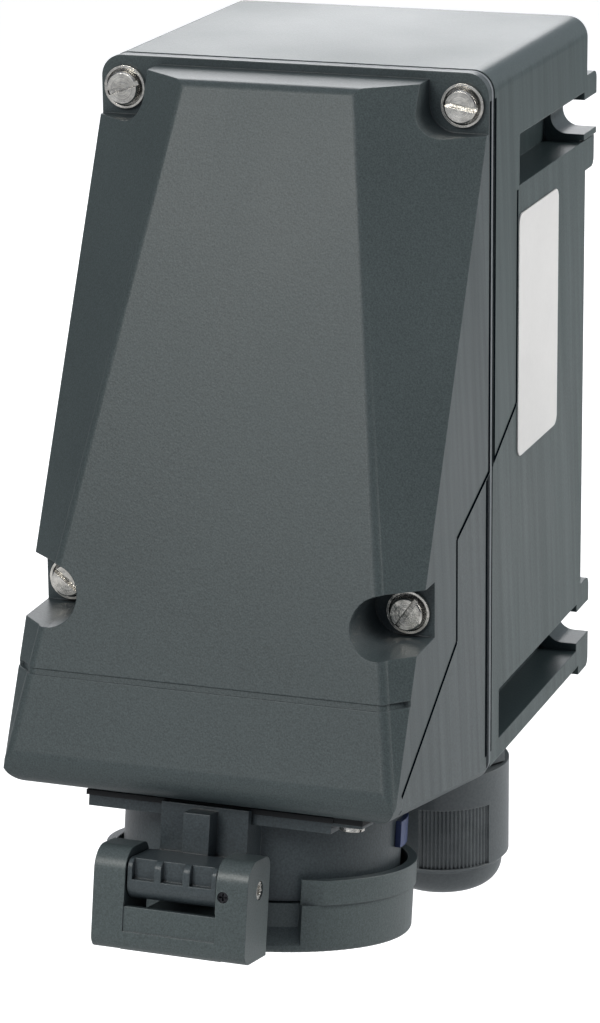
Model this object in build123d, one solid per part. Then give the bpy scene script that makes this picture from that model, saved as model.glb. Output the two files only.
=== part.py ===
from build123d import *
from math import atan2, cos, degrees, radians, sin, sqrt, tan
import os

# Industrial wall socket, in millimetres. +Z is up and +Y runs into the wall. The origin is on the wall plane,
# at mid width and mid height of the casing.
# Casing and cover are drawn lying on the wall: x across, y up, z out from the wall. STAND sets them upright.
# The socket is drawn on its own axis: x across, y towards the front, z down the barrel, from the underside
# of the cover. SOCKET sets it in place.

# Casing
body_w = 110.0
body_h = 199.0
corner_r = 6.0
wall = 3.5
casing_depth = 93.0
back_wall = 4.0
floor_wall = 6.0
rear_r = 2.0

# Wall lugs with open notches for the wall screws, and the side pockets that lead to them
lug_stand = 8.5
lug_w = 22.0
lug_h = 28.0
lug_t = 13.0
lug_r = 2.5
lug_top_down = 31.0
lug_low_up = 14.5
notch_w = 10.0
notch_deep = 10.0
notch_top_down = 28.7
notch_low_up = 16.0
side_pocket_deep = 12.0
side_pocket_h = 14.6
side_pocket_top_out = 78.0
side_pocket_low_out = 93.0
side_pocket_wall = 2.5

# Shallow field on each side wall, which the label lies in
field_deep = 0.6
field_line_w = 0.6
field_line_deep = 1.3
field_front_out = 78.0
field_front_up = 101.5
field_seam_up = 89.5
field_step_out = 132.6
field_step_top_up = 78.0
field_step_low_up = 49.5
field_toe_out = 180.0
field_toe_up = 22.0
label_w = 39.0
label_h = 69.0
label_t = 0.4
label_r = 3.0
label_out = 57.5
label_down = 78.5

# Seal between casing and cover
seal_gap = 3.0
seal_inset = 0.9
bead_inset = 0.15
bead_h = 1.5
seal_w = 3.2

# Cover: a rim plate and a wedge shaped hood with a chamfer down each side
rim_t = 2.5
hood_set = 2.2
hood_top_out = 21.9
face_angle = 19.7
flat_top_set = 30.8
flat_low_set = 0.8
flat_low_up = 23.0
edge_top_out = -2.7
edge_low_deep = 3.18512
crease_r = 3.0
hood_top_r = 3.0
hood_low_r = 8.0
underside_angle = 11.4
groove_up = 47.0
groove_w = 1.6
groove_deep = 0.35

# Cover screws, their cups, thread inserts and pockets
screw_in = 7.0
screw_top_down = 8.6
screw_low_up = 64.4
screw_low_deep = 20.2
screw_r = 3.0
screw_head_r = 4.5
screw_head_h = 2.9
screw_grip = 10.5
screw_slot_w = 1.3
screw_slot_deep = 1.6
screw_slot_angles = {"1": 20.0, "2": -10.0, "3": -40.0, "4": 55.0}
thread_clear = 0.05
hole_clear = 0.3
cup_r = 5.9
cup_h = 1.2
cup_floor = 0.5
cup_lip = 0.7
insert_r = 4.2
insert_h = 12.0
pillar_r = 7.0
pocket_r = 7.6
pocket_in = 1.8
pocket_low_lift = 1.0
pocket_draft = 1.0
pocket_wall = 2.5

# Socket housing: flange, barrel, mouth lip and hinge bracket in one moulding
axis_up = 30.0
socket_angle = 10.5
pad_t = 2.0
flange_seal_t = 1.4
flange_t = 3.0
flange_side_margin = 4.7
flange_front_margin = 5.8
flange_rear = -29.0
ledge_w = 8.6
ledge_l = 9.0
ledge_t = 0.8
ledge_left_set = 14.0
seal_proud = 0.6
aperture_clear = 3.0
ceiling_t = 1.8
bore_r = 32.5
barrel_wall = 5.7
barrel_end = 26.3
lip_wall = 4.1
lip_end = 34.7
key_w = 7.0
key_deep = 2.0
key_top = 14.0
bracket_half = 12.3
bracket_proud = 3.0
rib_half = 3.7
rib_proud = 6.0
rib_end = 11.3
band_t = 1.6
band_top = 8.0
band_end = 15.2
flange_screw_r = 1.5
flange_head_r = 3.4
flange_head_h = 1.4
flange_grip = 6.0

# Hinge of the lid
hinge_reach = 22.8
hinge_down = 17.8
pin_r = 2.5
run_clear = 0.05
knuckle_front = 8.4
knuckle_top = 6.0
knuckle_low = 5.0
knuckle_round = 4.6
knuckle_corner = 2.5
link_h = 9.0
recess_w = 6.1
recess_h = 5.4
recess_deep = 2.0
recess_pitch = 8.0
spring_turns = 6
spring_r = 3.4
spring_wire = 0.9
spring_room_r = 4.1
spring_room_half = 8.6

# Lid
lid_end = 39.5
lid_floor = 2.7
skirt_clear = 2.1
skirt_wall = 2.0
band_proud = 0.6
band_start = 19.9
front_clear = 0.7
front_half_angle = 35.0
stop_angle = 4.0
ramp_angle = 9.0
scoop_start = 33.0
scoop_end = 37.6
lid_edge_r = 1.2
block_half = 21.4
block_front = 9.2
block_rear = 7.2
block_top = 8.3
block_end = 36.4
block_top_r = 6.0
block_low_r = 3.5
plate_t = 2.6
plate_gap = 1.6
side_gap = 0.35
panel_half = 12.8
panel_end = 31.0
panel_deep = 0.4
web_half = 14.0
web_top = 11.0
lid_seal_set = 0.5
rest_gap = 0.3
pin_short = 0.3
pin_end_r = 1.3
pin_end_deep = 0.6
pin_screw_r = 1.5
pin_screw_x = 14.6
pin_screw_low = 1.0

# Rotor, contacts and switch
rotor_r = 21.0
rotor_end = 30.0
stem_r = 9.0
stem_end = -2.5
clip_r = 11.5
clip_t = 1.2
clip_seat_r = 8.0
sleeve_ring_r = 12.0
sleeve_bores = {"1": 3.0, "2": 2.4, "3": 2.4}
sleeve_wall = 1.1
sleeve_l = 17.0
sleeve_set = 2.0
shaft_r = 5.0
shaft_top = -22.0
shaft_low = 6.0
switch_half = 25.0
switch_front = 24.0
switch_rear = -20.0
switch_top = -46.0
switch_base = -5.0
post_r = 3.5
post_x = 16.0
post_y = -12.0
switch_screw_r = 1.5
switch_head_r = 3.0
switch_head_h = 2.2
terminal_pitch = 15.0
terminal_w = 9.0
terminal_h = 8.0
terminal_y = 10.0
terminal_screw_r = 2.0
terminal_head_r = 3.3
terminal_head_h = 2.0
wire_r = 1.8

# Cable gland and blanking plug
gland_in = 26.2
gland_out = 65.0
thread_r = 12.3
thread_l = 8.0
hex_af = 33.0
hex_h = 8.5
neck_r = 11.6
neck_l = 12.0
cable_hole_r = 9.0
nut_r = 19.6
nut_start = 9.0
nut_rib_start = 19.0
nut_rib_end = 37.0
nut_end = 47.0
nut_mouth_r = 9.6
nut_chamfer = 2.0
nut_wall = 3.2
rib_set = 0.6
rib_sectors = 3
ribs_per_sector = 17
rib_first_angle = 300.0
grip_r = 6.5
plug_head_r = 16.0
plug_head_h = 5.0
plug_slot_w = 3.0
plug_seal_t = 1.5

# Places worked out from the sizes above
half_w = body_w / 2
top = body_h / 2
casing_rim = lug_stand + casing_depth
cover_back = casing_rim + seal_gap
hood_top = top - hood_set
screw_x = half_w - screw_in
screw_low_y = screw_low_up - top
seat_top = cover_back + rim_t
seat_low = cover_back + hood_top_out + (hood_top - screw_low_y) * tan(radians(face_angle)) - screw_low_deep
gland_x = half_w - gland_in
underside = radians(underside_angle)
tilt = radians(socket_angle)
STAND = Plane.XZ.location
axis_out = cover_back + axis_up * cos(tilt)
axis_height = -top + axis_up * sin(tilt)
barrel_way = (0, -sin(tilt), -cos(tilt))
SOCKET = Plane(origin=(0, -axis_out, axis_height), x_dir=(1, 0, 0), z_dir=barrel_way).location
barrel_r = bore_r + barrel_wall
lip_r = bore_r + lip_wall
aperture_r = rotor_r + aperture_clear
flange_half = barrel_r + flange_side_margin
flange_front = barrel_r + flange_front_margin
bracket_front = flange_front + bracket_proud
rib_front = bracket_front + rib_proud
hinge_front = barrel_r + hinge_reach
skirt_in_r = barrel_r + skirt_clear
skirt_r = skirt_in_r + skirt_wall
band_r = skirt_r + band_proud
front_in_r = lip_r + front_clear
front_r = front_in_r + skirt_wall
flange_top = flange_seal_t
flange_low = flange_seal_t + flange_t
screw_places = {
    "1": (-screw_x, top - screw_top_down, seat_top),
    "2": (screw_x, top - screw_top_down, seat_top),
    "3": (-screw_x, screw_low_y, seat_low),
    "4": (screw_x, screw_low_y, seat_low),
}
ledge_x = flange_half - ledge_w / 2
flange_screw_places = {
    "1": (-ledge_x, flange_front - ledge_left_set - ledge_l / 2),
    "2": (ledge_x, flange_front - ledge_l / 2),
    "3": (-ledge_x, flange_rear + ledge_l / 2),
    "4": (ledge_x, flange_rear + ledge_l / 2),
}
sleeve_angles = {"1": -90.0, "2": 30.0, "3": 150.0}


def tube(radius, bore, low, high):
    """Upright ring from z = low to z = high."""
    return extrude(Pos(0, 0, low) * (Circle(radius) - Circle(bore)), high - low)


def rod(radius, low, high):
    """Upright cylinder from z = low to z = high."""
    return extrude(Pos(0, 0, low) * Circle(radius), high - low)


def block(x0, x1, y0, y1, z0, z1):
    """Box between two corners."""
    return Pos((x0 + x1) / 2, (y0 + y1) / 2, (z0 + z1) / 2) * Box(x1 - x0, y1 - y0, z1 - z0)


def crosswise(radius, half_length, y, z):
    """Cylinder along x, centred on x = 0."""
    return Pos(0, y, z) * Rot(0, 90, 0) * Cylinder(radius, 2 * half_length)


def both_sides(shape):
    """A shape and its mirror image across the middle of the box."""
    return shape + mirror(shape, Plane.YZ)


def slotted_screw(radius, length, head_r, head_h, slot_w, slot_deep, angle):
    """Cheese head screw: the head stands up from z = 0 and the shank hangs below it."""
    head = rod(head_r, 0, head_h)
    head = chamfer(head.faces().sort_by(Axis.Z)[-1].edges(), head_h / 8)
    slot = block(-head_r, head_r, -slot_w / 2, slot_w / 2, head_h - slot_deep, head_h + 1)
    slot = Rot(0, 0, angle) * slot
    return head - slot + rod(radius, -length, 0)


# Rear casing


def lug_heights():
    """Each lug with its notch and the reach of its side pocket."""
    return (
        (top - lug_top_down, top - notch_top_down, side_pocket_top_out),
        (lug_low_up - top, notch_low_up - top, side_pocket_low_out),
    )


def side_pocket(notch_y, reach, grow):
    """Room beside one lug for a screwdriver, open to the side. grow gives the walls round it."""
    inner = half_w - side_pocket_deep - grow
    half = side_pocket_h / 2 + grow
    return block(inner, half_w + 1, notch_y - half, notch_y + half, lug_t - grow, reach + grow)


def side_field():
    """Shallow field sunk in the right side wall, over casing and cover."""
    field_top = top - notch_top_down - side_pocket_h / 2
    outline = [
        (field_top, -1),
        (field_top, field_front_out),
        (field_front_up - top, field_front_out),
        (field_seam_up - top, casing_rim),
        (field_step_top_up - top, field_step_out),
        (field_step_low_up - top, field_step_out),
        (field_toe_up - top, field_toe_out),
        (-top - wall, field_toe_out),
        (-top - wall, -1),
    ]
    face = make_face(Polyline(*outline, close=True))
    line = offset(face, field_line_w, kind=Kind.INTERSECTION) - face
    field = extrude(Plane.YZ.offset(half_w - field_deep) * face, field_deep + 1)
    return field + extrude(Plane.YZ.offset(half_w - field_line_deep) * line, field_line_deep + 1)


def rear_casing():
    shell = extrude(Pos(0, 0, lug_stand) * RectangleRounded(body_w, body_h, corner_r), casing_depth)
    shell = fillet(shell.faces().sort_by(Axis.Z)[0].edges(), rear_r)
    inside_h = body_h - wall - floor_wall
    floor_shift = (floor_wall - wall) / 2
    room = RectangleRounded(body_w - 2 * wall, inside_h, corner_r - wall)
    room = extrude(Pos(0, floor_shift, lug_stand + back_wall) * room, casing_depth)
    pockets = Part()
    notches = Part()
    for lug_y, notch_y, reach in lug_heights():
        lug = block(half_w - lug_w, half_w, lug_y - lug_h / 2, lug_y + lug_h / 2, 0, lug_stand + rear_r)
        lug = fillet(lug.edges().filter_by(Axis.X).group_by(Axis.Z)[0], lug_r)
        shell += both_sides(lug)
        pockets += both_sides(side_pocket(notch_y, reach, 0))
        room -= both_sides(side_pocket(notch_y, reach, side_pocket_wall))
        notch_r = notch_w / 2
        end_x = half_w - notch_deep + notch_r
        notch = Pos(end_x, notch_y, 0) * rod(notch_r, -1, lug_t + 1)
        notch += block(end_x, half_w + 1, notch_y - notch_r, notch_y + notch_r, -1, lug_t + 1)
        notches += both_sides(notch)
    for x, y, seat in screw_places.values():
        room -= Pos(x, y, 0) * rod(pillar_r, lug_stand, casing_rim)
    shell -= room
    shell -= pockets
    shell -= notches
    for x, y, seat in screw_places.values():
        shell -= Pos(x, y, 0) * rod(insert_r, casing_rim - insert_h, casing_rim + 1)
    entry = Rot(90, 0, 0) * Cylinder(thread_r + thread_clear, 4 * floor_wall)
    entry = Pos(gland_x, -top, gland_out) * entry
    shell -= both_sides(entry)
    shell -= both_sides(side_field())
    return STAND * shell


def side_label():
    outline = RectangleRounded(label_h, label_w, label_r)
    face = Plane.YZ.offset(half_w - field_deep) * (Pos(top - label_down, label_out) * outline)
    return STAND * extrude(face, label_t)


def inserts():
    for name, (x, y, seat) in screw_places.items():
        ring = tube(insert_r, screw_r + thread_clear, casing_rim - insert_h, casing_rim)
        yield "insert_" + name, STAND * Pos(x, y, 0) * ring


def frame_outline(inset):
    return RectangleRounded(body_w - 2 * inset, body_h - 2 * inset, corner_r - inset)


def cover_seal():
    strip = extrude(Pos(0, 0, casing_rim) * frame_outline(seal_inset), seal_gap)
    strip += extrude(Pos(0, 0, casing_rim + (seal_gap - bead_h) / 2) * frame_outline(bead_inset), bead_h)
    opening = RectangleRounded(body_w - 2 * seal_w, body_h - 2 * seal_w, corner_r - seal_w)
    strip -= extrude(Pos(0, 0, casing_rim - 1) * opening, seal_gap + 2)
    return STAND * strip


# Front cover


def hood_section(level, flat_half, edge_out, face_out, inset):
    """Level section of the hood: a flat face with a chamfer each side. It runs deep, to be trimmed."""
    slant = atan2(face_out - edge_out, half_w - flat_half)
    front = face_out - inset / cos(radians(face_angle))
    flat = half_w - (front - edge_out + inset / cos(slant)) / tan(slant)
    side = edge_out - inset / cos(slant) - inset * tan(slant)
    outer = half_w + inset
    back = cover_back - 3 * corner_r
    points = [(-outer, back), (-outer, side), (-flat, front), (flat, front), (outer, side), (outer, back)]
    face = make_face(Polyline(*points, close=True))
    face = fillet(face.vertices().group_by(Axis.Y)[-1], crease_r)
    return Plane(origin=(0, level, 0), x_dir=(1, 0, 0), z_dir=(0, -1, 0)) * face


def hood_lines(level):
    """Half width of the flat face, and how far out edge and face lie, at one height."""
    slope = tan(radians(face_angle))
    face_out = cover_back + hood_top_out + (hood_top - level) * slope
    narrow_h = hood_top + top - flat_low_up
    share = min((hood_top - level) / narrow_h, 1)
    flat = half_w - flat_top_set + (flat_top_set - flat_low_set) * share
    top_deep = hood_top_out - edge_top_out
    edge_out = face_out - top_deep + (top_deep - edge_low_deep) * share
    return flat, edge_out, face_out


def hood(inset=0.0):
    """The hood as a solid wedge, drawn in from its outer faces by inset."""
    levels = (hood_top + corner_r, flat_low_up - top, -top - corner_r)
    wedge = loft([hood_section(level, *hood_lines(level), inset) for level in levels], ruled=True)
    level_top = hood_top - inset
    rear_low = -top + inset / cos(underside)
    slope = tan(radians(face_angle))
    face_top = hood_top_out + inset * slope - inset / cos(radians(face_angle))
    low_out = (face_top + slope * (level_top - rear_low)) / (1 + slope * tan(underside))
    low_y = rear_low + low_out * tan(underside)
    profile = [(rear_low, 0), (low_y, low_out), (level_top, face_top), (level_top, 0)]
    face = make_face(Polyline(*profile, close=True))
    low_corner = face.vertices().sort_by_distance((low_y, low_out))[0]
    face = fillet(low_corner, hood_low_r - inset)
    top_corner = face.vertices().sort_by_distance((level_top, face_top))[0]
    face = fillet(top_corner, hood_top_r)
    side_view = Plane(origin=(0, 0, cover_back), x_dir=(0, 1, 0), z_dir=(1, 0, 0))
    side = extrude(side_view * face, body_w, both=True)
    front_view = Pos(0, body_h + rear_low, cover_back) * RectangleRounded(
        body_w - 2 * inset, 2 * body_h, corner_r - inset
    )
    sheath = extrude(front_view, body_w * 1.2, dir=(0, sin(underside), cos(underside)))
    return side & sheath & wedge


def rim_plate():
    """Flat plate behind the top of the hood, which the upper screws hold."""
    plate = extrude(Pos(0, 0, cover_back) * RectangleRounded(body_w, body_h, corner_r), rim_t)
    return plate & block(-half_w, half_w, 0, top, cover_back, seat_top)


def screw_pocket(x, y, seat, radius, draft, length):
    """Pocket round a screw, open to the side of the cover and, for the upper pair, to its top."""
    side = 1 if x > 0 else -1
    x -= side * pocket_in
    if y < 0:
        y += pocket_low_lift
    outline = Circle(radius)
    outline += Pos(side * 2 * radius, 0) * Rectangle(4 * radius, 2 * radius)
    if seat == seat_top:
        outline += Pos(side * 1.5 * radius, 1.5 * radius) * Rectangle(5 * radius, 3 * radius)
    return extrude(Pos(x, y, seat) * outline, length, taper=-draft)


def front_cover():
    skin = hood() + rim_plate()
    room = hood(wall)
    reach = hood_top_out + body_h * tan(radians(face_angle))
    pockets = Part()
    for x, y, seat in screw_places.values():
        pockets += screw_pocket(x, y, seat, pocket_r, pocket_draft, reach)
        room -= screw_pocket(x, y, seat - pocket_wall, pocket_r + pocket_wall, pocket_draft, reach)
        room -= Pos(x, y, 0) * rod(pillar_r, cover_back, seat)
    skin -= room
    skin -= pockets
    for x, y, seat in screw_places.values():
        skin -= Pos(x, y, 0) * rod(screw_r + hole_clear, cover_back - 1, seat + 1)
    groove_y = groove_up - top
    groove_low = hood_lines(groove_y)[1]
    groove = block(-half_w, half_w, groove_y - groove_w, groove_y, groove_low, cover_back + body_h)
    skin -= groove - hood(groove_deep)
    skin -= both_sides(side_field())
    skin = STAND * skin + SOCKET * (flange_plate(-pad_t, 0) + flange_ledges(-pad_t, 0))
    skin -= SOCKET * rod(aperture_r, -2 * wall, wall)
    for x, y in flange_screw_places.values():
        skin -= SOCKET * Pos(x, y, 0) * rod(flange_screw_r + thread_clear, -2 * wall, wall)
    return skin


def screw_cups():
    for name, (x, y, seat) in screw_places.items():
        cup = rod(cup_r, 0, cup_h)
        cup -= rod(cup_r - cup_lip, cup_floor, cup_h + 1)
        cup -= rod(screw_r + hole_clear, -1, cup_h)
        yield "screw_cup_" + name, STAND * Pos(x, y, seat) * cup


def cover_screws():
    for name, (x, y, seat) in screw_places.items():
        length = seat + cup_floor - casing_rim + screw_grip
        angle = screw_slot_angles[name]
        screw = slotted_screw(
            screw_r, length, screw_head_r, screw_head_h, screw_slot_w, screw_slot_deep, angle
        )
        yield "cover_screw_" + name, STAND * Pos(x, y, seat + cup_floor) * screw


# Socket housing


def flange_ledges(low, high):
    """Low corner plates of the flange, which its screws hold."""
    plates = Part()
    for x, y in flange_screw_places.values():
        plates += block(x - ledge_w, x + ledge_w, y - ledge_l / 2, y + ledge_l / 2, low, high)
    return plates & block(-flange_half, flange_half, flange_rear, flange_front, low, high)


def flange_plate(low, high, grow=0.0):
    """Middle of the flange, seen from below as a plain plate between the ledges."""
    half = flange_half - ledge_w + grow
    return block(-half, half, flange_rear - grow, flange_front + grow, low, high)


def key_way():
    """Groove in the bore at the front, for the key of a plug, with a run that lets the plug turn."""
    straight = block(-key_w / 2, key_w / 2, 0, bore_r + key_deep, key_top, lip_end + 1)
    turn = tube(bore_r + key_deep, bore_r - 1, key_top, key_top + key_w)
    wedge = [(0, 0), (0, 2 * bore_r), (-2 * bore_r, 2 * bore_r)]
    sector = extrude(Pos(0, 0, key_top) * make_face(Polyline(*wedge, close=True)), key_w)
    return straight + (turn & sector)


def knuckle_profile():
    """Side view of the fixed knuckle round the pin, in y and z."""
    front = hinge_front + knuckle_front
    low = hinge_down + knuckle_low
    high = hinge_down - knuckle_top
    outline = [
        (bracket_front - 2, hinge_down + knuckle_low - link_h),
        (bracket_front - 2, low),
        (front, low),
        (front, high),
        (hinge_front - knuckle_top, high),
    ]
    face = make_face(Polyline(*outline, close=True))
    face = fillet(nearest(face, front, low), knuckle_round)
    return fillet(nearest(face, front, high), knuckle_corner)


def nearest(face, x, y):
    """The corner of a face nearest to a point."""
    return face.vertices().sort_by(lambda v: (Vector(v.X, v.Y) - Vector(x, y)).length)[0]


def across(face, half, centre=0.0):
    """A side view, given in y and z, made half thick each way along x."""
    view = Plane(origin=(centre, 0, 0), x_dir=(0, 1, 0), z_dir=(1, 0, 0))
    return extrude(view * face, half, both=True)


def hinge_bracket():
    arm = block(-bracket_half, bracket_half, 0, bracket_front, flange_low, hinge_down + knuckle_low)
    arm += block(-bracket_half, bracket_half, flange_front + seal_proud, bracket_front, rest_gap, flange_low)
    rib = block(-rib_half, rib_half, bracket_front - 1, rib_front, flange_top, rib_end + knuckle_corner)
    knuckle = across(knuckle_profile(), bracket_half)
    for step in (-1, 0, 1):
        front = hinge_front + knuckle_front
        left = step * recess_pitch - recess_w / 2
        high = hinge_down - knuckle_top
        knuckle -= block(left, left + recess_w, front - recess_deep, front + 1, high - 1, high + recess_h)
    knuckle -= crosswise(pin_r + run_clear, bracket_half + 1, hinge_front, hinge_down)
    knuckle -= crosswise(spring_room_r, spring_room_half, hinge_front, hinge_down)
    return arm + rib + knuckle


def socket_housing():
    shape = flange_plate(flange_top, flange_low)
    shape += flange_ledges(flange_top, flange_top + ledge_t)
    shape += rod(barrel_r, flange_top, barrel_end)
    shape += hinge_bracket()
    shape += rod(lip_r, barrel_end, lip_end)
    ceiling = flange_low + ceiling_t
    shape -= rod(bore_r, ceiling, lip_end + 1)
    shape -= rod(stem_r + run_clear, flange_top - 1, ceiling + 1)
    shape -= key_way()
    for x in (-post_x, post_x):
        shape += Pos(x, post_y, 0) * rod(post_r, switch_base, flange_top)
        shape -= Pos(x, post_y, 0) * rod(switch_screw_r + thread_clear, switch_base - 1, flange_low)
    for x, y in flange_screw_places.values():
        shape -= Pos(x, y, 0) * rod(flange_screw_r + hole_clear, flange_top - 1, flange_top + ledge_t + 1)
    return SOCKET * shape


def flange_seal():
    sheet = flange_plate(0, flange_seal_t, seal_proud)
    sheet += flange_ledges(0, flange_seal_t)
    for x, y in flange_screw_places.values():
        sheet -= Pos(x, y, 0) * rod(flange_screw_r + hole_clear, -1, flange_seal_t + 1)
    return SOCKET * (sheet - rod(aperture_r, -1, flange_seal_t + 1))


def flange_screws():
    for name, (x, y) in flange_screw_places.items():
        slot_deep = flange_head_h / 2
        screw = slotted_screw(
            flange_screw_r, flange_grip, flange_head_r, flange_head_h, screw_slot_w / 2, slot_deep, 30.0
        )
        yield "flange_screw_" + name, SOCKET * Pos(x, y, flange_top + ledge_t) * screw


def coding_band():
    ring = tube(barrel_r + band_t, barrel_r, band_top, band_end)
    rear = block(-2 * barrel_r, 2 * barrel_r, -2 * barrel_r, 0, band_top, band_end)
    return SOCKET * (ring & rear)


# Lid with its hinge


def sector(angle, low, high):
    """Wedge about the axis, angle degrees each way from the front."""
    far = 3 * skirt_r
    outline = Polyline((0, 0), polar(far, angle), polar(far, -angle), close=True)
    return extrude(Pos(0, 0, low) * make_face(outline), high - low)


def polar(radius, angle):
    """Point at a radius and an angle from the front, as x and y."""
    return radius * sin(radians(angle)), radius * cos(radians(angle))


def lid_cap():
    """Flat cap with a deep ring. The ring is set back at the front, and rises in a skirt round the rest."""
    floor_top = lid_end - lid_floor
    ring_top = barrel_end + rest_gap
    cap = rod(skirt_r, ring_top, lid_end)
    cap = fillet(cap.faces().sort_by(Axis.Z)[-1].edges(), lid_edge_r)
    cap -= rod(front_in_r, ring_top - 1, floor_top)
    cap -= rod(skirt_in_r, ring_top - 1, floor_top) - sector(front_half_angle + stop_angle, 0, lid_end)
    band = tube(band_r, skirt_in_r, band_start, ring_top)
    start, end = front_half_angle, front_half_angle + ramp_angle
    inner, outer = skirt_in_r + 0.4, band_r + 0.5
    ramp = Polyline(
        polar(inner, start), polar(outer, end), polar(2 * outer, end), polar(2 * outer, start), close=True
    )
    band -= both_sides(extrude(Pos(0, 0, band_start - 1) * make_face(ramp), lid_end))
    cap += band - sector(front_half_angle, 0, lid_end)
    far = 2 * skirt_r
    scoop = [(front_r, 0), (front_r, scoop_start), (skirt_r + 0.1, scoop_end), (far, scoop_end), (far, 0)]
    face = make_face(Polyline(*scoop, close=True))
    return cap - (revolve(Plane.XZ * face, Axis.Z) & sector(front_half_angle, 0, lid_end))


def block_profile():
    """Side view of the lid's hinge block, in y and z."""
    front = hinge_front + block_front
    rear = hinge_front - block_rear
    high = hinge_down - block_top
    outline = [(rear, high), (front, high), (front, block_end), (rear, block_end)]
    face = make_face(Polyline(*outline, close=True))
    face = fillet(nearest(face, front, high), block_top_r)
    face = fillet(nearest(face, front, block_end), block_low_r)
    return fillet(nearest(face, rear, high), block_low_r)


def socket_lid():
    hinge = across(block_profile(), block_half)
    front = hinge_front + block_front
    gap = bracket_half + side_gap
    plate_top = hinge_down + knuckle_low + plate_gap
    slot = block(-gap, gap, 0, front + 1, 0, plate_top)
    slot += block(-gap, gap, 0, front - plate_t, 0, hinge_down + web_top)
    corner = Vector(knuckle_front - knuckle_corner, knuckle_top - knuckle_corner)
    reach = corner.length + knuckle_corner
    slot += crosswise(reach + rest_gap, gap, hinge_front, hinge_down)
    hinge -= slot
    hinge -= block(-panel_half, panel_half, front - panel_deep, front + 1, plate_top - 1, panel_end)
    web_y = front_in_r
    web = block(-web_half, web_half, web_y, front - plate_t, hinge_down + web_top, block_end)
    shape = hinge + web + lid_cap()
    shape -= rod(front_in_r, barrel_end, lid_end - lid_floor)
    shape -= crosswise(pin_r + run_clear / 2, block_half + 1, hinge_front, hinge_down)
    screw_place = Pos(pin_screw_x, hinge_front, hinge_down + pin_screw_low) * Rot(-90, 0, 0)
    screw_hole = screw_place * rod(pin_screw_r, pin_r, block_front + 1)
    return SOCKET * (shape - screw_hole)


def lid_seal():
    floor_top = lid_end - lid_floor
    return SOCKET * tube(front_in_r - rest_gap, bore_r + lid_seal_set, lip_end + rest_gap, floor_top)


def hinge_pin():
    pin = crosswise(pin_r, block_half - pin_short, hinge_front, hinge_down)
    pin -= crosswise(pin_end_r, block_half, hinge_front, hinge_down)
    pin += crosswise(pin_end_r, block_half - pin_short - pin_end_deep, hinge_front, hinge_down)
    return SOCKET * pin


def pin_screw():
    body = rod(pin_screw_r, 0, block_front - pin_r - pin_short)
    cross = Box(pin_screw_r * 1.4, 0.4, 1) + Box(0.4, pin_screw_r * 1.4, 1)
    body -= Pos(0, 0, block_front - pin_r - pin_short) * cross
    place = Pos(pin_screw_x, hinge_front + pin_r, hinge_down + pin_screw_low)
    return SOCKET * place * Rot(-90, 0, 0) * body


def lid_spring():
    """Torsion spring round the pin, inside the knuckle."""
    pitch = spring_wire * 1.25
    path = Helix(pitch, pitch * spring_turns, spring_r)
    start = Plane(origin=path @ 0, z_dir=path % 0)
    wire = sweep(start * Circle(spring_wire / 2), path=path, is_frenet=True)
    wire = Pos(0, 0, -pitch * spring_turns / 2) * wire
    return SOCKET * Pos(0, hinge_front, hinge_down) * Rot(0, 90, 0) * wire


# Rotor, contacts and switch


def sleeve_place(name):
    angle = radians(sleeve_angles[name])
    return Pos(sleeve_ring_r * cos(angle), sleeve_ring_r * sin(angle), 0)


def contact_rotor():
    start = flange_low + ceiling_t + rest_gap
    shape = rod(rotor_r, start, rotor_end)
    shape = chamfer(shape.faces().sort_by(Axis.Z)[-1].edges(), 1.0)
    shape += rod(stem_r, stem_end, start)
    shape -= tube(stem_r + 1, clip_seat_r, flange_top - clip_t - rest_gap, flange_top - rest_gap)
    shape -= rod(shaft_r, stem_end - 1, shaft_low)
    for name, bore in sleeve_bores.items():
        deep = rotor_end - sleeve_set
        hole = rod(bore + sleeve_wall, deep - sleeve_l, deep)
        hole += rod(bore + hole_clear, deep - 1, rotor_end + 1)
        shape -= sleeve_place(name) * hole
    return SOCKET * shape


def contact_sleeves():
    for name, bore in sleeve_bores.items():
        deep = rotor_end - sleeve_set
        sleeve = rod(bore + sleeve_wall, deep - sleeve_l, deep) - rod(bore, deep - sleeve_l + 2, deep + 1)
        slit = block(-bore - 2, bore + 2, -0.4, 0.4, deep - sleeve_l / 2, deep + 1)
        yield "contact_sleeve_" + name, SOCKET * sleeve_place(name) * (sleeve - slit)


def rotor_clip():
    ring = tube(clip_r, clip_seat_r, flange_top - clip_t - rest_gap, flange_top - rest_gap)
    return SOCKET * (ring - block(-1.5, 1.5, 0, clip_r + 1, -clip_t, flange_top))


def drive_shaft():
    return SOCKET * rod(shaft_r, shaft_top, shaft_low)


def terminal_places():
    for index, name in enumerate(("1", "2", "3")):
        yield name, Pos((index - 1) * terminal_pitch, terminal_y, switch_top)


def switch_block():
    shape = block(-switch_half, switch_half, switch_rear, switch_front, switch_top, switch_base)
    shape = fillet(shape.edges().filter_by(Axis.Z), 2.0)
    shape -= rod(shaft_r + run_clear, shaft_top - 1, switch_base + 1)
    for name, place in terminal_places():
        well = block(-terminal_w / 2, terminal_w / 2, -terminal_w / 2, switch_front, -1, terminal_h)
        shape -= place * well
    for x in (-post_x, post_x):
        place = Pos(x, post_y, 0)
        shape -= place * rod(switch_screw_r + hole_clear, switch_top - 1, switch_base + 1)
        shape -= place * rod(switch_head_r + hole_clear, switch_top - 1, switch_top + switch_head_h)
    return SOCKET * shape


def switch_screws():
    for name, x in (("1", -post_x), ("2", post_x)):
        length = switch_base - switch_top - switch_head_h + flange_top - switch_base - 1
        screw = slotted_screw(switch_screw_r, length, switch_head_r, switch_head_h, 0.8, 1.0, 15.0)
        place = Pos(x, post_y, switch_top + switch_head_h) * Rot(180, 0, 0)
        yield "switch_screw_" + name, SOCKET * place * screw


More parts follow.
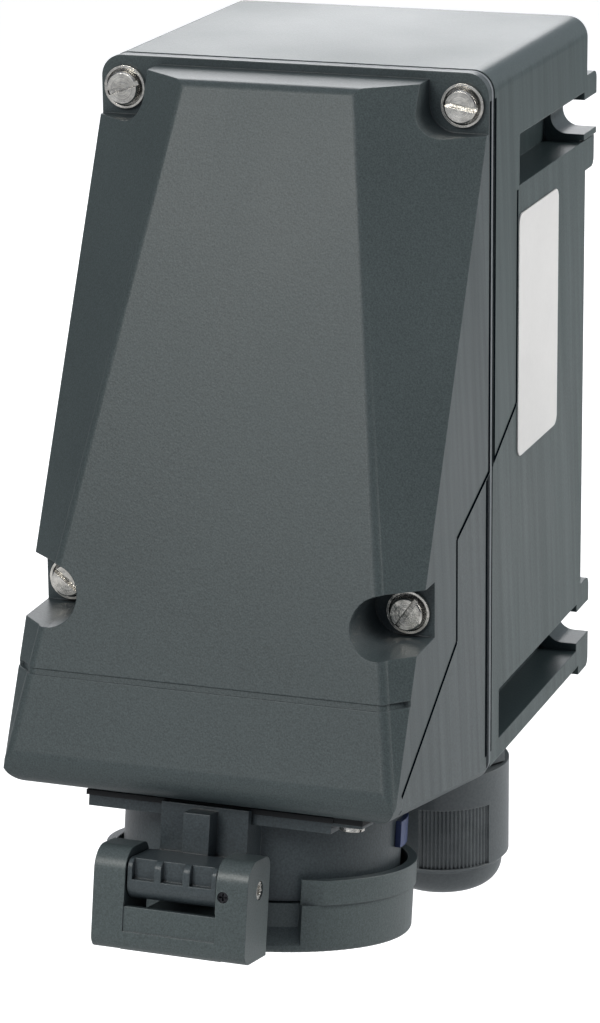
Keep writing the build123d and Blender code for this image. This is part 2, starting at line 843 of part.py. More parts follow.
def terminals():
    for name, place in terminal_places():
        half = terminal_w / 2
        clamp = block(-half, half, -half, half, 0, terminal_h)
        clamp -= Pos(0, 0, terminal_h / 2 + 1) * Rot(90, 0, 0) * Cylinder(wire_r, 2 * terminal_w)
        clamp -= rod(terminal_screw_r, -1, terminal_h / 2)
        yield "terminal_" + name, SOCKET * place * clamp


def terminal_screws():
    for name, place in terminal_places():
        shank_r = terminal_screw_r - thread_clear
        screw = slotted_screw(
            shank_r, terminal_h / 2 - 1, terminal_head_r, terminal_head_h, 0.8, 1.0, 40.0
        )
        yield "terminal_screw_" + name, SOCKET * place * Rot(180, 0, 0) * screw


# Cable entry: drawn with z down from the floor of the casing

ENTRY = Location((0, -gland_out, -top), (180, 0, 0))


def gland_body():
    shape = rod(thread_r, -thread_l, 0)
    shape += extrude(RegularPolygon(hex_af / 2, 6, major_radius=False), hex_h)
    shape += rod(neck_r, hex_h, hex_h + neck_l)
    return ENTRY * Pos(gland_x, 0, 0) * (shape - rod(cable_hole_r, -thread_l - 1, hex_h + neck_l + 1))


def nut_profile():
    """Half section of the domed nut, in radius and height."""
    shoulder = nut_rib_end + nut_chamfer
    line = Polyline(
        (0, nut_start),
        (nut_r, nut_start),
        (nut_r, nut_rib_end),
        (nut_r - nut_chamfer, shoulder),
        (nut_r - nut_chamfer, shoulder + 1),
    )
    dome = TangentArc(line @ 1, (nut_mouth_r + 1, nut_end), tangent=(0, 1))
    base = Polyline(dome @ 1, (0, nut_end), (0, nut_start))
    return make_face([*line.edges(), *dome.edges(), *base.edges()])


def gland_nut():
    shape = revolve(Plane.XZ * nut_profile(), Axis.Z)
    shape -= rod(neck_r + thread_clear, nut_start - 1, hex_h + neck_l + 1)
    shape -= rod(nut_r - nut_wall - nut_chamfer, hex_h + neck_l, nut_end - nut_wall)
    shape -= rod(nut_mouth_r, nut_start, nut_end + 1)
    spread = 360.0 / rib_sectors / 2
    pitch = spread / ribs_per_sector
    rib_r = nut_r - rib_set
    groove_w = 2 * rib_r * tan(radians(pitch / 4))
    groove = Pos(rib_r, 0, nut_rib_start) * Rot(0, 0, 45) * Rectangle(groove_w, groove_w)
    groove = extrude(groove, nut_rib_end - nut_rib_start)
    recess = tube(nut_r + 1, rib_r, nut_rib_start, nut_rib_end) & sector(spread / 2 + pitch / 2, 0, nut_end)
    for part in range(rib_sectors):
        middle = rib_first_angle + part * 2 * spread
        shape -= Rot(0, 0, -middle - 90) * recess
        for index in range(ribs_per_sector + 1):
            shape -= Rot(0, 0, -(middle - spread / 2 + index * pitch)) * groove
    return ENTRY * Pos(gland_x, 0, 0) * shape


def gland_seal():
    ring = tube(cable_hole_r + 2, grip_r, hex_h + neck_l, nut_end - nut_wall)
    return ENTRY * Pos(gland_x, 0, 0) * ring


def blanking_plug():
    shape = rod(thread_r, -thread_l, plug_seal_t)
    head = rod(plug_head_r, plug_seal_t, plug_seal_t + plug_head_h)
    head = fillet(head.faces().sort_by(Axis.Z)[-1].edges(), 1.2)
    slot = block(-plug_head_r, plug_head_r, -plug_slot_w / 2, plug_slot_w / 2, plug_head_h - 1, plug_head_h + 3)
    return ENTRY * Pos(-gland_x, 0, 0) * (shape + head - slot)


def blanking_seal():
    return ENTRY * Pos(-gland_x, 0, 0) * tube(plug_head_r - 1, thread_r + thread_clear, 0, plug_seal_t)


def all_pieces():
    singles = (
        rear_casing,
        front_cover,
        cover_seal,
        side_label,
        socket_housing,
        flange_seal,
        coding_band,
        socket_lid,
        lid_seal,
        hinge_pin,
        pin_screw,
        lid_spring,
        contact_rotor,
        rotor_clip,
        drive_shaft,
        switch_block,
        gland_body,
        gland_nut,
        gland_seal,
        blanking_plug,
        blanking_seal,
    )
    groups = (
        inserts,
        screw_cups,
        cover_screws,
        flange_screws,
        contact_sleeves,
        switch_screws,
        terminals,
        terminal_screws,
    )
    for make in singles:
        yield make.__name__, make()
    for make in groups:
        yield from make()


os.makedirs("parts", exist_ok=True)
for name, piece in all_pieces():
    export_step(piece, f"parts/{name}.step")
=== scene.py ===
import math

import bpy
from mathutils import Matrix, Vector


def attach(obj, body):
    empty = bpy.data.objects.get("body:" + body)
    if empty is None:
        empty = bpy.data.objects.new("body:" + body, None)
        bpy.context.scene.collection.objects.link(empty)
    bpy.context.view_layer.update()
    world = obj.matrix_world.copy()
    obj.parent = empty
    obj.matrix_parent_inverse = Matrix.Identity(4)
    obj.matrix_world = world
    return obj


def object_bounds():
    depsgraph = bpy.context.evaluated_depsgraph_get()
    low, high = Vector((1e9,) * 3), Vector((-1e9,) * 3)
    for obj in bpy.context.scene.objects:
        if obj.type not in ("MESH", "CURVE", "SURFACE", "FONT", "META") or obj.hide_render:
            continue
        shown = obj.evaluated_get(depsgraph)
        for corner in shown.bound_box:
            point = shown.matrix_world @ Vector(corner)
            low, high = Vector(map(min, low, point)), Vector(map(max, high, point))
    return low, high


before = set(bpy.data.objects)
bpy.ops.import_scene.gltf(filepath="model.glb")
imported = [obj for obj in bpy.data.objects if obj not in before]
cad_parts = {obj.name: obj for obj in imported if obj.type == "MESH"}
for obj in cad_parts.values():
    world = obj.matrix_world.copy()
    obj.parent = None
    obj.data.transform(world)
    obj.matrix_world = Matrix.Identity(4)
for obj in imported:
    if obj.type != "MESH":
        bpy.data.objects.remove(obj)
cad_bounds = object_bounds()


# Rear casing.
# The deep box that hangs on the wall, moulded in grey glass filled polyester with a fine grain.
# Its edges are drawn smooth, its side walls show how the compound flowed, and four lugs hold it off the wall.
def add_node(tree, kind, place, **values):
    node = tree.nodes.new(kind)
    node.location = place
    for name, value in values.items():
        setattr(node, name, value)
    return node


def feed(tree, socket, value):
    """Links a socket to the output of another node, or sets it to a plain value."""
    if isinstance(value, (int, float, tuple)):
        socket.default_value = value
    else:
        tree.links.new(value, socket)


def calculate(tree, operation, first, second, place, clamp=False):
    node = add_node(tree, "ShaderNodeMath", place, operation=operation, use_clamp=clamp)
    feed(tree, node.inputs[0], first)
    feed(tree, node.inputs[1], second)
    return node.outputs[0]


def blend_colours(tree, factor, first, second, place, mode="MIX"):
    node = add_node(tree, "ShaderNodeMix", place, data_type="RGBA", blend_type=mode)
    feed(tree, node.inputs[0], factor)
    feed(tree, node.inputs[6], first)
    feed(tree, node.inputs[7], second)
    return node.outputs[2]


def scale_colour(tree, colour, gain, place):
    node = add_node(tree, "ShaderNodeVectorMath", place, operation="SCALE")
    feed(tree, node.inputs[0], colour)
    feed(tree, node.inputs["Scale"], gain)
    return node.outputs[0]


def stretch(tree, value, low, high, out_low, out_high, place):
    """Maps the range from low to high onto the range from out_low to out_high."""
    node = add_node(tree, "ShaderNodeMapRange", place)
    for socket, number in zip(node.inputs, (value, low, high, out_low, out_high)):
        feed(tree, socket, number)
    return node.outputs[0]


def add_noise(tree, where, scale, detail, place, distortion=0.0):
    node = add_node(tree, "ShaderNodeTexNoise", place)
    feed(tree, node.inputs["Vector"], where)
    feed(tree, node.inputs["Scale"], scale)
    feed(tree, node.inputs["Detail"], detail)
    feed(tree, node.inputs["Distortion"], distortion)
    return node.outputs[0]


def new_effect(name, inputs, outputs):
    """An empty node group. inputs gives each socket's kind and value, and outputs its kind."""
    tree = bpy.data.node_groups.new(name, "ShaderNodeTree")
    for label, (kind, value) in inputs.items():
        socket = tree.interface.new_socket(label, in_out="INPUT", socket_type=kind)
        socket.default_value = value
    for label, kind in outputs.items():
        tree.interface.new_socket(label, in_out="OUTPUT", socket_type=kind)
    start = add_node(tree, "NodeGroupInput", (-900, 0))
    end = add_node(tree, "NodeGroupOutput", (900, 0))
    return tree, start.outputs, end.inputs


def place_effect(tree, effect, place, **values):
    """Puts a group in a material. An input is named with underscores for its spaces."""
    node = add_node(tree, "ShaderNodeGroup", place, node_tree=effect)
    for name, value in values.items():
        feed(tree, node.inputs[name.replace("_", " ")], value)
    return node.outputs


def make_grain_effect():
    """Fine pebble grain of a moulding: small bumps, with a slight cloud of tone over the whole surface."""
    inputs = {
        "Colour": ("NodeSocketColor", (0.1, 0.1, 0.1, 1)),
        "Grain per metre": ("NodeSocketFloat", 900.0),
        "Speckle": ("NodeSocketFloat", 0.15),
        "Cloud": ("NodeSocketFloat", 0.1),
        "Roughness": ("NodeSocketFloat", 0.5),
    }
    outputs = {"Colour": "NodeSocketColor", "Roughness": "NodeSocketFloat", "Height": "NodeSocketFloat"}
    tree, given, result = new_effect("Moulded grain", inputs, outputs)
    cloud_scale, pit_share, dull_share = 14.0, 0.6, 0.6
    where = add_node(tree, "ShaderNodeTexCoord", (-900, 300)).outputs["Object"]
    grain = add_noise(tree, where, given["Grain per metre"], 2.0, (-600, 300))
    pits = add_node(tree, "ShaderNodeTexVoronoi", (-600, 0))
    feed(tree, pits.inputs["Vector"], where)
    pit_scale = calculate(tree, "MULTIPLY", given["Grain per metre"], pit_share, (-750, 0))
    feed(tree, pits.inputs["Scale"], pit_scale)
    cloud = add_noise(tree, where, cloud_scale, 5.0, (-600, -300))
    tone = stretch(tree, grain, 0.3, 0.7, -1.0, 1.0, (-300, 400))
    tone = calculate(tree, "MULTIPLY", tone, given["Speckle"], (-100, 400))
    drift = stretch(tree, cloud, 0.3, 0.7, -1.0, 1.0, (-300, -300))
    drift = calculate(tree, "MULTIPLY", drift, given["Cloud"], (-100, -300))
    change = calculate(tree, "ADD", tone, drift, (100, 200))
    gain = calculate(tree, "ADD", change, 1.0, (250, 200))
    dulled = calculate(tree, "MULTIPLY", drift, dull_share, (250, -100))
    feed(tree, result["Colour"], scale_colour(tree, given["Colour"], gain, (450, 200)))
    feed(tree, result["Roughness"], calculate(tree, "ADD", dulled, given["Roughness"], (450, -100)))
    feed(tree, result["Height"], calculate(tree, "ADD", grain, pits.outputs[0], (-300, 150)))
    return tree


def make_edge_wear_and_highlight_effect():
    """Outer edges turn paler, partly as wear and partly as a painted highlight: finds the outer corners of a
    piece, broken up by a noise.
    """
    inputs = {"Width": ("NodeSocketFloat", 0.0006), "Amount": ("NodeSocketFloat", 0.5)}
    tree, given, result = new_effect("Worn and highlit edges", inputs, {"Mask": "NodeSocketFloat"})
    rounded = add_node(tree, "ShaderNodeBevel", (-600, 100), samples=6)
    feed(tree, rounded.inputs["Radius"], given["Width"])
    turn = add_node(tree, "ShaderNodeVectorMath", (-400, 0), operation="DOT_PRODUCT")
    feed(tree, turn.inputs[0], rounded.outputs[0])
    feed(tree, turn.inputs[1], add_node(tree, "ShaderNodeNewGeometry", (-600, -100)).outputs["Normal"])
    corner = stretch(tree, turn.outputs["Value"], 0.99, 0.85, 0.0, 1.0, (-200, 0))
    where = add_node(tree, "ShaderNodeTexCoord", (-600, -300)).outputs["Object"]
    scuff = add_noise(tree, where, 160.0, 4.0, (-400, -300))
    broken = stretch(tree, scuff, 0.35, 0.65, 0.0, 1.0, (-200, -300))
    mask = calculate(tree, "MULTIPLY", corner, broken, (0, 0), clamp=True)
    mask = calculate(tree, "MULTIPLY", mask, given["Amount"], (200, 0), clamp=True)
    feed(tree, result["Mask"], mask)
    return tree


def make_flow_effect():
    """Flow marks of the compound: slanting streaks, only where a wall looks to the side."""
    inputs = {
        "Colour": ("NodeSocketColor", (0.1, 0.1, 0.1, 1)),
        "Strength": ("NodeSocketFloat", 0.2),
    }
    outputs = {"Colour": "NodeSocketColor", "Shine": "NodeSocketFloat"}
    tree, given, result = new_effect("Flow marks", inputs, outputs)
    slant_angle = math.radians(-7)
    marks_per_metre = (40.0, 260.0, 9.0)
    shine_share = -0.35
    slant = add_node(tree, "ShaderNodeMapping", (-1100, 200))
    feed(tree, slant.inputs["Vector"], add_node(tree, "ShaderNodeTexCoord", (-1300, 200)).outputs["Object"])
    feed(tree, slant.inputs["Rotation"], (slant_angle, 0, 0))
    drawn = add_node(tree, "ShaderNodeMapping", (-900, 200))
    feed(tree, drawn.inputs["Vector"], slant.outputs[0])
    feed(tree, drawn.inputs["Scale"], marks_per_metre)
    streak = add_noise(tree, drawn.outputs[0], 1.0, 3.0, (-700, 200), distortion=0.6)
    facing = add_node(tree, "ShaderNodeSeparateXYZ", (-700, -200))
    feed(tree, facing.inputs[0], add_node(tree, "ShaderNodeNewGeometry", (-900, -200)).outputs["Normal"])
    aside = calculate(tree, "ABSOLUTE", facing.outputs["X"], 0.0, (-500, -200))
    aside = stretch(tree, aside, 0.9, 0.99, 0.0, 1.0, (-300, -200))
    change = stretch(tree, streak, 0.3, 0.7, -1.0, 1.0, (-300, 200))
    change = calculate(tree, "MULTIPLY", change, aside, (-100, 100))
    change = calculate(tree, "MULTIPLY", change, given["Strength"], (100, 100))
    gain = calculate(tree, "ADD", change, 1.0, (250, 100))
    feed(tree, result["Colour"], scale_colour(tree, given["Colour"], gain, (400, 200)))
    feed(tree, result["Shine"], calculate(tree, "MULTIPLY", change, shine_share, (400, -50)))
    return tree


def make_painted_shade_effect():
    """Painted shade: a colour gets darker and bluer in hollows, and nearly black in narrow gaps, where ambient
    occlusion finds them.
    """
    inputs = {
        "Colour": ("NodeSocketColor", (0.1, 0.1, 0.1, 1)),
        "Reach": ("NodeSocketFloat", 0.03),
        "Amount": ("NodeSocketFloat", 0.6),
        "Gap": ("NodeSocketFloat", 0.0016),
    }
    tree, given, result = new_effect("Painted shade in hollows", inputs, {"Colour": "NodeSocketColor"})
    shade_tint = (0.30, 0.34, 0.42, 1)
    gap_shade_colour = (0.006, 0.007, 0.008, 1)
    near = add_node(tree, "ShaderNodeAmbientOcclusion", (-500, 0), samples=8)
    feed(tree, near.inputs["Distance"], given["Reach"])
    hollow = stretch(tree, near.outputs["AO"], 0.9, 0.3, 0.0, 1.0, (-300, 0))
    share = calculate(tree, "MULTIPLY", hollow, given["Amount"], (-100, 0), clamp=True)
    darker = blend_colours(tree, 1.0, given["Colour"], shade_tint, (-100, 200), mode="MULTIPLY")
    dulled = blend_colours(tree, share, given["Colour"], darker, (200, 100))
    tight = add_node(tree, "ShaderNodeAmbientOcclusion", (-500, -300), samples=8)
    feed(tree, tight.inputs["Distance"], given["Gap"])
    gap = stretch(tree, tight.outputs["AO"], 0.6, 0.35, 0.0, 1.0, (-300, -300))
    feed(tree, result["Colour"], blend_colours(tree, gap, dulled, gap_shade_colour, (450, 0)))
    return tree


grain_effect = make_grain_effect()
edge_wear_and_highlight_effect = make_edge_wear_and_highlight_effect()
flow_effect = make_flow_effect()
painted_shade_effect = make_painted_shade_effect()


def new_material(name):
    material = bpy.data.materials.new(name)
    material.use_nodes = True
    tree = material.node_tree
    return material, tree, tree.nodes["Principled BSDF"]


def add_relief(tree, shader, height, depth, edge_radius):
    """Fine relief of a surface, on edges that look rounded by edge_radius."""
    soft = add_node(tree, "ShaderNodeBevel", (-600, -500), samples=6)
    feed(tree, soft.inputs["Radius"], edge_radius)
    bump = add_node(tree, "ShaderNodeBump", (-300, -300))
    feed(tree, bump.inputs["Distance"], depth)
    feed(tree, bump.inputs["Strength"], 1.0)
    feed(tree, bump.inputs["Height"], height)
    feed(tree, bump.inputs["Normal"], soft.outputs[0])
    feed(tree, shader.inputs["Normal"], bump.outputs[0])


def moulded_material(
    name, colour, worn_and_highlit, roughness, grain, speckle, depth, edge_wear_and_highlight=0.4, specular=0.5, streaks=0.0, shade_in_hollows=0.6
):
    """A moulding with grain, paler along its outer edges as wear and painted highlight, and darker in its
    hollows as painted shade. colour and the paler edge colour are linear, grain is per metre.
    """
    material, tree, shader = new_material(name)
    feed(tree, shader.inputs["Specular IOR Level"], specular)
    surface = place_effect(
        tree, grain_effect, (-900, 200), Colour=(*colour, 1), Grain_per_metre=grain, Speckle=speckle,
        Cloud=0.08, Roughness=roughness,
    )
    marks = place_effect(tree, flow_effect, (-700, 300), Colour=surface["Colour"], Strength=streaks)
    # Painted shade: the colour darkens in hollows and nearly blackens in narrow gaps.
    shade = place_effect(tree, painted_shade_effect, (-500, 400), Colour=marks["Colour"], Amount=shade_in_hollows)
    edges = place_effect(tree, edge_wear_and_highlight_effect, (-600, -200), Amount=edge_wear_and_highlight)
    # Paler outer edges: partly wear, partly a painted highlight.
    tinted = blend_colours(tree, edges["Mask"], shade["Colour"], (*worn_and_highlit, 1), (-300, 200))
    feed(tree, shader.inputs["Base Color"], tinted)
    rough = calculate(tree, "ADD", surface["Roughness"], marks["Shine"], (-300, 0))
    feed(tree, shader.inputs["Roughness"], rough)
    add_relief(tree, shader, surface["Height"], depth, edge_radius=0.0004)
    return material


def dress(material, *names):
    """Gives CAD nodes a material in place of their plain one."""
    for name in names:
        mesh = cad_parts[name].data
        mesh.materials.clear()
        mesh.materials.append(material)


# Painted shade darkens its pockets and gaps; its outer edges turn paler, partly as wear and partly as a painted
# highlight.
casing_grey = moulded_material(
    "casing grey", colour=(0.066, 0.090, 0.089), worn_and_highlit=(0.14, 0.16, 0.16), roughness=0.36,
    grain=2400.0, speckle=0.2, depth=0.00002, specular=0.25, streaks=0.1,
)
dress(casing_grey, "rear_casing")


# Front cover.
# The wedge shaped cover, moulded in the same compound as the casing but with a finer skin.
# Four screws in its corner pockets draw it against the casing's rim.
# Painted shade darkens its screw pockets and gaps; its outer edges turn paler, partly as wear and partly as a
# painted highlight.
cover_grey = moulded_material(
    "cover grey", colour=(0.072, 0.090, 0.092), worn_and_highlit=(0.14, 0.16, 0.16), roughness=0.38,
    grain=2400.0, speckle=0.24, depth=0.000015, specular=0.33, streaks=0.1,
)
dress(cover_grey, "front_cover")


# Seals.
# Soft rubber, cut or moulded, that is squeezed between two parts to keep water out.
# Those of the socket and glands are nearly black, and the strip round the casing's rim is a paler grey.
seal_rubber = moulded_material(
    "seal rubber", colour=(0.02, 0.021, 0.022), worn_and_highlit=(0.04, 0.04, 0.04), roughness=0.7,
    grain=1500.0, speckle=0.1, depth=0.00002,
)
dress(seal_rubber, "flange_seal", "lid_seal", "gland_seal", "blanking_seal")
strip_rubber = moulded_material(
    "strip rubber", colour=(0.2, 0.22, 0.23), worn_and_highlit=(0.3, 0.3, 0.3), roughness=0.5,
    grain=1500.0, speckle=0.1, depth=0.00002, shade_in_hollows=0.0,
)
dress(strip_rubber, "cover_seal")


# Side label.
# A plain pale film with rounded corners, cut to shape.
# It is stuck in the shallow field on the right side of the casing.
label_film = moulded_material(
    "label film", colour=(0.90, 0.88, 0.855), worn_and_highlit=(0.7, 0.68, 0.65), roughness=0.38,
    grain=400.0, speckle=0.01, depth=0.00001, shade_in_hollows=0.0,
)
dress(label_film, "side_label")


# Side shadow lines.
# Painted shadow of the moulding's fine gaps and steps: dark lines on each side of the seam, and one along the
# front of the label's field.
# They are laid on both side walls as strips a twentieth of a millimetre high, where a wall is found under them.
# Painted shadow: these strips are dark where the seam's gaps and the field's step throw shade.
shadow_line_dark = moulded_material(
    "painted shadow line", colour=(0.004, 0.006, 0.008), worn_and_highlit=(0.004, 0.006, 0.008), roughness=0.9,
    grain=1500.0, speckle=0.1, depth=0.00001, specular=0.0, shade_in_hollows=0.0,
)
strip_height = 0.00005
clear_of_side = 0.2
least_wall_x = 0.0535


def find_wall(side, out, up):
    """The place on a side wall at so many millimetres out from the wall of the room and up, or None.

    Where the nearest surface lies deeper than least_wall_x, it is a pocket and no wall.
    """
    y, z = -out / 1000, up / 1000
    for name in ("rear_casing", "front_cover"):
        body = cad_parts[name]
        inward = body.matrix_world.inverted()
        start = inward @ Vector((side * clear_of_side, y, z))
        found, point, _, _ = body.ray_cast(start, inward.to_3x3() @ Vector((-side, 0, 0)))
        if found:
            wall_x = side * (body.matrix_world @ point).x
            if wall_x > least_wall_x:
                return side * (wall_x + strip_height), y, z
    return None


def lay_shadow_line(name, side, path, width):
    """A dark strip of painted shadow along a path of (out, up) points in millimetres, in steps of about one.
    side is 1 or -1.
    """
    points, faces = [], []
    for (out, up), (next_out, next_up) in zip(path, path[1:]):
        length = math.hypot(next_out - out, next_up - up)
        across_out = (next_up - up) / length * width / 2
        across_up = -(next_out - out) / length * width / 2
        steps = round(length)
        before = None
        for step in range(steps + 1):
            here_out = out + step / steps * (next_out - out)
            here_up = up + step / steps * (next_up - up)
            pair = [
                find_wall(side, here_out + edge * across_out, here_up + edge * across_up) for edge in (-1, 1)
            ]
            if None in pair:
                before = None
                continue
            after = len(points)
            points += pair
            if before is not None:
                faces.append((before, before + 1, after + 1, after))
            before = after
    mesh = bpy.data.meshes.new(name)
    mesh.from_pydata(points, [], faces)
    mesh.materials.append(shadow_line_dark)
    line = bpy.data.objects.new(name, mesh)
    bpy.context.collection.objects.link(line)
    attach(line, "base")


field_width, seam_width = 1.3, 1.4
field_path = ((79.6, 63), (79.6, 3), (102.1, -8.5), (134.2, -20.4), (134.2, -49.1), (181.4, -76.5))
casing_path = ((100.7, 92), (100.7, -92))
cover_path = ((105.3, 92), (105.3, -92))
for side, word in ((1, "right"), (-1, "left")):
    lay_shadow_line(f"{word}_field_shadow_line", side, field_path, field_width)
    lay_shadow_line(f"{word}_casing_shadow_line", side, casing_path, seam_width)
    lay_shadow_line(f"{word}_cover_shadow_line", side, cover_path, seam_width)


# Socket and lid.
# Flange, barrel and hinge bracket are one polyamide moulding, screwed to the cover; its colour is darker than
# the casing's as painted shade under the hood.
# The lid turns on a steel pin through its two arms; its colour is paler than the casing's as painted light on
# its front.
# Painted shade: this colour is darker than the casing's to stand for the hood's shade on the barrel.
socket_shaded_grey = moulded_material(
    "socket shaded grey", colour=(0.058, 0.073, 0.079), worn_and_highlit=(0.14, 0.16, 0.16), roughness=0.36,
    grain=1800.0, speckle=0.25, depth=0.00003, shade_in_hollows=0.4,
)
dress(socket_shaded_grey, "socket_housing")
# Painted light: this colour is paler than the casing's to stand for the light on the lid's front.
lid_lit_grey = moulded_material(
    "lid lit grey", colour=(0.082, 0.103, 0.103), worn_and_highlit=(0.18, 0.21, 0.21), roughness=0.36,
    grain=2200.0, speckle=0.25, depth=0.00002,
)
dress(lid_lit_grey, "socket_lid")


# Insert, switch and coding band.
# The insert that turns with the plug, its shaft and the switch behind it are smooth black mouldings.
# The band is a strip of blue plastic, snapped round the rear of the barrel.
insert_black = moulded_material(
    "insert black", colour=(0.018, 0.018, 0.019), worn_and_highlit=(0.05, 0.05, 0.05), roughness=0.3,
    grain=1200.0, speckle=0.05, depth=0.00001,
)
dress(insert_black, "contact_rotor", "drive_shaft", "switch_block")
band_blue = moulded_material(
    "band blue", colour=(0.02, 0.045, 0.16), worn_and_highlit=(0.05, 0.09, 0.25), roughness=0.35,
    grain=900.0, speckle=0.05, depth=0.00001,
)
dress(band_blue, "coding_band")


# Screws, cups, pin, spring and contacts.
# Stainless steel and brass, turned on a lathe, with fine marks of the tool round the head.
# The small screw that locks the pin is blackened steel.
def make_turned_effect():
    """Rings left by turning round the head, on a slightly uneven face that breaks up what it mirrors."""
    inputs = {
        "Colour": ("NodeSocketColor", (0.7, 0.7, 0.7, 1)),
        "Roughness": ("NodeSocketFloat", 0.3),
        "Rings": ("NodeSocketFloat", 26.0),
        "Unevenness": ("NodeSocketFloat", 1.0),
    }
    outputs = {"Colour": "NodeSocketColor", "Roughness": "NodeSocketFloat", "Height": "NodeSocketFloat"}
    tree, given, result = new_effect("Turned marks", inputs, outputs)
    ring_share = 0.35
    where = add_node(tree, "ShaderNodeTexCoord", (-1300, 0)).outputs
    centred = add_node(tree, "ShaderNodeVectorMath", (-1100, 200), operation="SUBTRACT")
    feed(tree, centred.inputs[0], where["Generated"])
    feed(tree, centred.inputs[1], (0.5, 0.5, 0.5))
    flat = add_node(tree, "ShaderNodeVectorMath", (-950, 200), operation="MULTIPLY")
    feed(tree, flat.inputs[0], centred.outputs[0])
    feed(tree, flat.inputs[1], (1.0, 0.0, 1.0))
    radius = add_node(tree, "ShaderNodeVectorMath", (-800, 200), operation="LENGTH")
    feed(tree, radius.inputs[0], flat.outputs[0])
    along = calculate(tree, "MULTIPLY", radius.outputs["Value"], given["Rings"], (-650, 200))
    ring = add_node(tree, "ShaderNodeTexNoise", (-500, 200), noise_dimensions="1D")
    feed(tree, ring.inputs["Scale"], 1.0)
    feed(tree, ring.inputs["Detail"], 2.0)
    feed(tree, ring.inputs["W"], along)
    uneven = add_noise(tree, where["Object"], 420.0, 3.0, (-500, -100))
    lumps = calculate(tree, "MULTIPLY", uneven, given["Unevenness"], (-300, -100))
    ridges = calculate(tree, "MULTIPLY", ring.outputs[0], ring_share, (-300, 200))
    stain = stretch(tree, uneven, 0.35, 0.65, 0.72, 1.12, (-300, -300))
    shift = stretch(tree, ring.outputs[0], 0.3, 0.7, -0.08, 0.12, (-100, -150))
    feed(tree, result["Colour"], scale_colour(tree, given["Colour"], stain, (100, 300)))
    feed(tree, result["Roughness"], calculate(tree, "ADD", given["Roughness"], shift, (300, -100)))
    feed(tree, result["Height"], calculate(tree, "ADD", ridges, lumps, (-100, 100)))
    return tree


turned_effect = make_turned_effect()


def metal_material(name, colour, roughness):
    """A bare turned metal, with painted shade in its slots. colour is linear."""
    material, tree, shader = new_material(name)
    feed(tree, shader.inputs["Metallic"], 1.0)
    surface = place_effect(
        tree, grain_effect, (-900, 200), Colour=(*colour, 1), Grain_per_metre=1800.0, Speckle=0.05,
        Cloud=0.1, Roughness=roughness,
    )
    marks = place_effect(
        tree, turned_effect, (-600, -150), Colour=surface["Colour"], Roughness=surface["Roughness"]
    )
    # Painted shade: narrow gaps and slots turn nearly black.
    shade = place_effect(tree, painted_shade_effect, (-380, 300), Colour=marks["Colour"], Amount=0.0, Gap=0.0012)
    feed(tree, shader.inputs["Base Color"], shade["Colour"])
    feed(tree, shader.inputs["Roughness"], marks["Roughness"])
    add_relief(tree, shader, marks["Height"], depth=0.00018, edge_radius=0.0002)
    return material


stainless = metal_material("stainless steel", colour=(0.86, 0.83, 0.77), roughness=0.2)
black_steel = metal_material("black steel", colour=(0.05, 0.05, 0.055), roughness=0.35)
brass = metal_material("brass", colour=(0.75, 0.56, 0.26), roughness=0.3)
for node_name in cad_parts:
    if node_name == "pin_screw":
        dress(black_steel, node_name)
    elif "screw" in node_name or node_name in ("hinge_pin", "lid_spring", "rotor_clip"):
        dress(stainless, node_name)
    elif node_name.startswith(("insert_", "contact_sleeve", "terminal_")):
        dress(brass, node_name)


# Cable glands.
# Grey polyamide: a body screwed into the casing, and a nut with ribs for the hand that squeezes its seal.
# A plug of the same plastic closes the second entry.
# Its rib edges turn paler, partly as wear and partly as a painted highlight, and its hollows get only a little
# painted shade.
gland_grey = moulded_material(
    "gland grey", colour=(0.12, 0.135, 0.14), worn_and_highlit=(0.30, 0.32, 0.32), roughness=0.3,
    grain=1400.0, speckle=0.1, depth=0.00002, edge_wear_and_highlight=0.7, shade_in_hollows=0.15,
)
dress(gland_grey, "gland_body", "gland_nut", "blanking_plug")


# Floor, lamps and studio.
# A pale floor, lit softly from the front left, from behind and from the right.
# It lies low enough for the open lid, and from below it is clear.
def add_floor(drop, size, glow):
    """glow is what only the camera sees, so that the floor looks white and adds no light to the object."""
    bpy.ops.mesh.primitive_plane_add(size=size, location=(0, 0, cad_bounds[0][2] - drop))
    floor = bpy.context.object
    floor.name = "floor"
    material, tree, shader = new_material("pale floor")
    feed(tree, shader.inputs["Base Color"], (0.65, 0.65, 0.65, 1))
    feed(tree, shader.inputs["Roughness"], 0.9)
    feed(tree, shader.inputs["Emission Color"], (1.0, 1.0, 1.0, 1))
    seen = add_node(tree, "ShaderNodeLightPath", (-600, -300)).outputs["Is Camera Ray"]
    feed(tree, shader.inputs["Emission Strength"], calculate(tree, "MULTIPLY", seen, glow, (-300, -300)))
    choice = add_node(tree, "ShaderNodeMixShader", (400, 100))
    feed(tree, choice.inputs[0], add_node(tree, "ShaderNodeNewGeometry", (0, 400)).outputs["Backfacing"])
    feed(tree, choice.inputs[1], shader.outputs[0])
    feed(tree, choice.inputs[2], add_node(tree, "ShaderNodeBsdfTransparent", (0, -300)).outputs[0])
    feed(tree, tree.nodes["Material Output"].inputs["Surface"], choice.outputs[0])
    floor.data.materials.append(material)


def add_lamp(name, place, size, power, colour):
    """A soft lamp of size metres that looks at the middle of the object, with power in watts."""
    data = bpy.data.lights.new(name, "AREA")
    data.shape = "RECTANGLE"
    data.size, data.size_y = size
    data.energy = power
    data.color = colour
    lamp = bpy.data.objects.new(name, data)
    lamp.location = place
    middle = Vector((0.0, -0.1, -0.02))
    lamp.rotation_euler = (middle - Vector(place)).to_track_quat("-Z", "Y").to_euler()
    bpy.context.collection.objects.link(lamp)


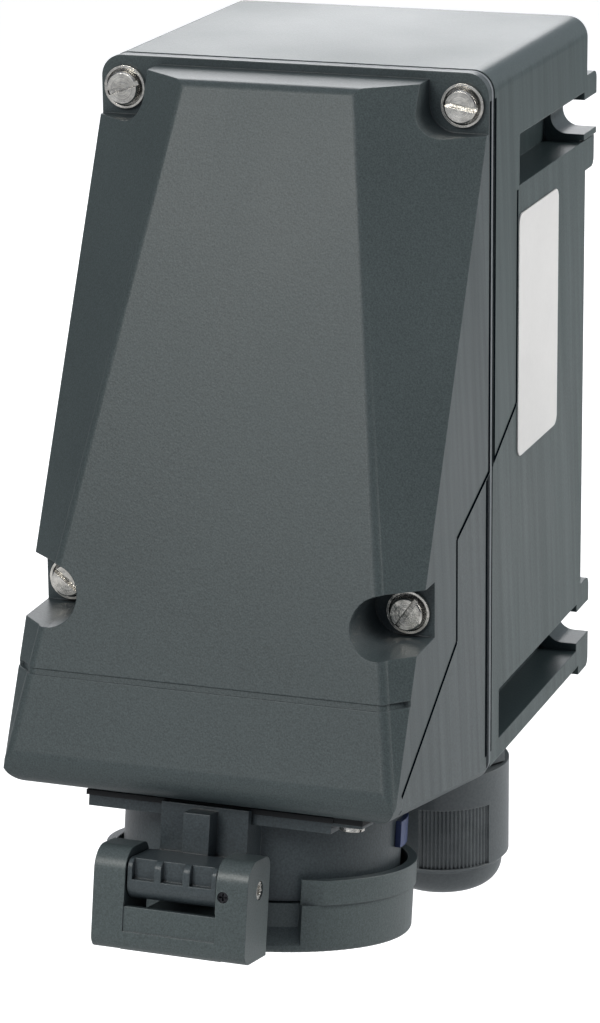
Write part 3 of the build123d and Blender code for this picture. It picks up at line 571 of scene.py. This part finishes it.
def light_studio(pale, dim, extra_behind):
    """Walls of the studio: pale behind, above and below, and dim to both sides. The camera sees them white."""
    world = bpy.data.worlds.new("studio")
    bpy.context.scene.world = world
    world.use_nodes = True
    tree = world.node_tree
    walls = tree.nodes["Background"]
    seen = add_node(tree, "ShaderNodeLightPath", (-900, 300)).outputs["Is Camera Ray"]
    way = add_node(tree, "ShaderNodeSeparateXYZ", (-900, 0))
    feed(tree, way.inputs[0], add_node(tree, "ShaderNodeTexCoord", (-1100, 0)).outputs["Generated"])
    aside = calculate(tree, "ABSOLUTE", way.outputs["X"], 0.0, (-700, 0))
    strength = stretch(tree, aside, 0.35, 0.8, pale, dim, (-500, 0))
    behind = stretch(tree, way.outputs["Y"], 0.3, 0.9, 0.0, extra_behind, (-500, -200))
    strength = calculate(tree, "ADD", strength, behind, (-300, -100))
    feed(tree, walls.inputs["Strength"], calculate(tree, "MAXIMUM", strength, seen, (-100, 0)))
    tint = blend_colours(tree, seen, (0.85, 0.90, 1.0, 1), (1.0, 1.0, 1.0, 1), (-300, 300))
    feed(tree, walls.inputs["Color"], tint)


add_floor(drop=0.1, size=16.0, glow=0.76)
add_lamp("front lamp", (-0.35, -1.35, 0.9), size=(0.7, 0.6), power=10.6, colour=(1.0, 0.99, 0.95))
add_lamp("back lamp", (-0.75, 1.3, 0.66), size=(1.4, 0.8), power=10.2, colour=(1.0, 1.0, 1.0))
add_lamp("right lamp", (1.3, 0.6, 0.65), size=(0.6, 1.0), power=13.5, colour=(1.0, 1.0, 0.98))
light_studio(pale=0.45, dim=0.086, extra_behind=0.16)


# Camera.
# It stands where the photograph was taken from: to the right of the object and above it, about a metre off.
# Its angles and its long lens were fitted to the object's corners.
azimuth, elevation, roll = (math.radians(angle) for angle in (19.816, 16.621, -0.574))
distance = 1.070855
focal_px, long_side_px = 3856.44, 1023
look_at = Vector((-0.000412, -0.103, -0.026634))
back = Vector(
    (math.sin(azimuth) * math.cos(elevation), -math.cos(azimuth) * math.cos(elevation), math.sin(elevation))
)
sideways = Vector((math.cos(azimuth), math.sin(azimuth), 0))
upright = back.cross(sideways)
across = math.cos(roll) * sideways + math.sin(roll) * upright
above = -math.sin(roll) * sideways + math.cos(roll) * upright
camera_data = bpy.data.cameras.new("camera")
camera_data.sensor_width = 36.0
camera_data.lens = focal_px * camera_data.sensor_width / long_side_px
camera = bpy.data.objects.new("camera", camera_data)
turned = Matrix((across, above, back)).transposed().to_4x4()
camera.matrix_world = Matrix.Translation(look_at + back * distance) @ turned
bpy.context.collection.objects.link(camera)
bpy.context.scene.camera = camera
bpy.context.scene.view_settings.view_transform = "Standard"
